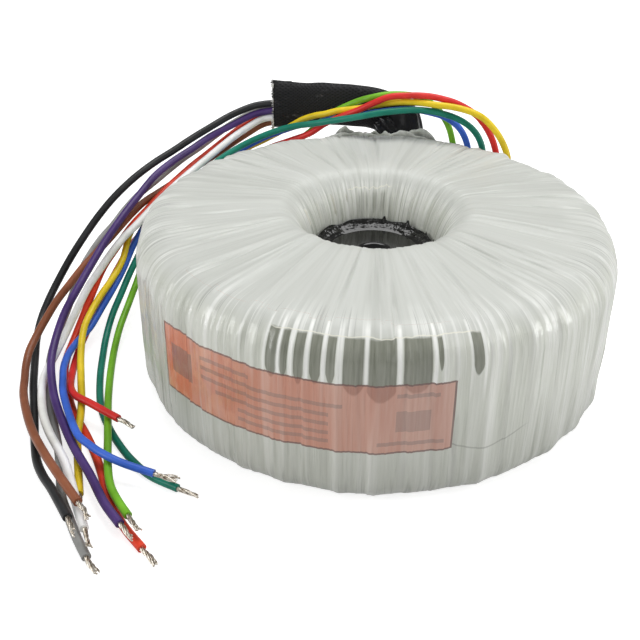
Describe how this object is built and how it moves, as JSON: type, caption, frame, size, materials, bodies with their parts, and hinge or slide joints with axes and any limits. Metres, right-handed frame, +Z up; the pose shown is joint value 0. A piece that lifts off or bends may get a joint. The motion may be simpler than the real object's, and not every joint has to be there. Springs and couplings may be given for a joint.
{
  "type": "toroidal transformer",
  "caption": "Ring-shaped power transformer wrapped in clear film tape, with a potted bolt hole, a sleeve and coloured flying leads.",
  "frame": {"origin": "bottom centre of the ring, on the axis of its hole", "axes": "+Z up along the hole; -Y the front, where the label's side faces; +Y the back, where the leads come out; +X to the right"},
  "size_m": [0.2021, 0.2052, 0.0757],
  "materials": {
    "core_steel": "coiled electrical steel strip",
    "copper_wire": "enamelled copper wire, satin",
    "copper_foil": "bright copper foil",
    "inner_film": "clear polyester film tape in many layers",
    "film_tape": "milky clear polyester film tape, satin gloss",
    "label_print": "printed paper under the film",
    "black_potting": "glossy black epoxy",
    "black_shrink": "shiny black tubing",
    "woven_sleeve": "black woven glass fibre",
    "tinned_strands": "tinned copper strands",
    "lead_black": "satin wire cover",
    "lead_grey": "satin wire cover",
    "lead_orange": "satin wire cover",
    "lead_brown": "satin wire cover",
    "lead_violet": "satin wire cover",
    "lead_white": "satin wire cover",
    "lead_green_yellow": "satin wire cover",
    "lead_blue": "satin wire cover",
    "lead_green": "satin wire cover",
    "lead_red": "satin wire cover",
    "lead_yellow": "satin wire cover"
  },
  "bodies": {
    "root": {"core_strip": "core_steel", "core_insulation": "inner_film", "primary_winding_a": "copper_wire", "primary_winding_b": "copper_wire", "primary_insulation": "inner_film", "screen_foil": "copper_foil", "screen_insulation": "inner_film", "secondary_winding_a": "copper_wire", "secondary_winding_b": "copper_wire", "inner_wrap": "inner_film", "label": "label_print", "outer_wrap": "film_tape", "centre_potting": "black_potting", "exit_tape": "film_tape", "exit_shrink": "black_shrink", "primary_sleeve": "woven_sleeve", "lead_black": "lead_black", "lead_grey": "lead_grey", "lead_orange": "lead_orange", "lead_brown": "lead_brown", "lead_violet": "lead_violet", "lead_white": "lead_white", "lead_green_yellow": "lead_green_yellow", "lead_blue": "lead_blue", "lead_green": "lead_green", "lead_red": "lead_red", "lead_yellow": "lead_yellow", "strands_black": "tinned_strands", "strands_grey": "tinned_strands", "strands_orange": "tinned_strands", "strands_brown": "tinned_strands", "strands_violet": "tinned_strands", "strands_white": "tinned_strands", "strands_green_yellow": "tinned_strands", "strands_blue": "tinned_strands", "strands_green": "tinned_strands", "strands_red": "tinned_strands", "strands_yellow": "tinned_strands"}
  },
  "joints": []
}
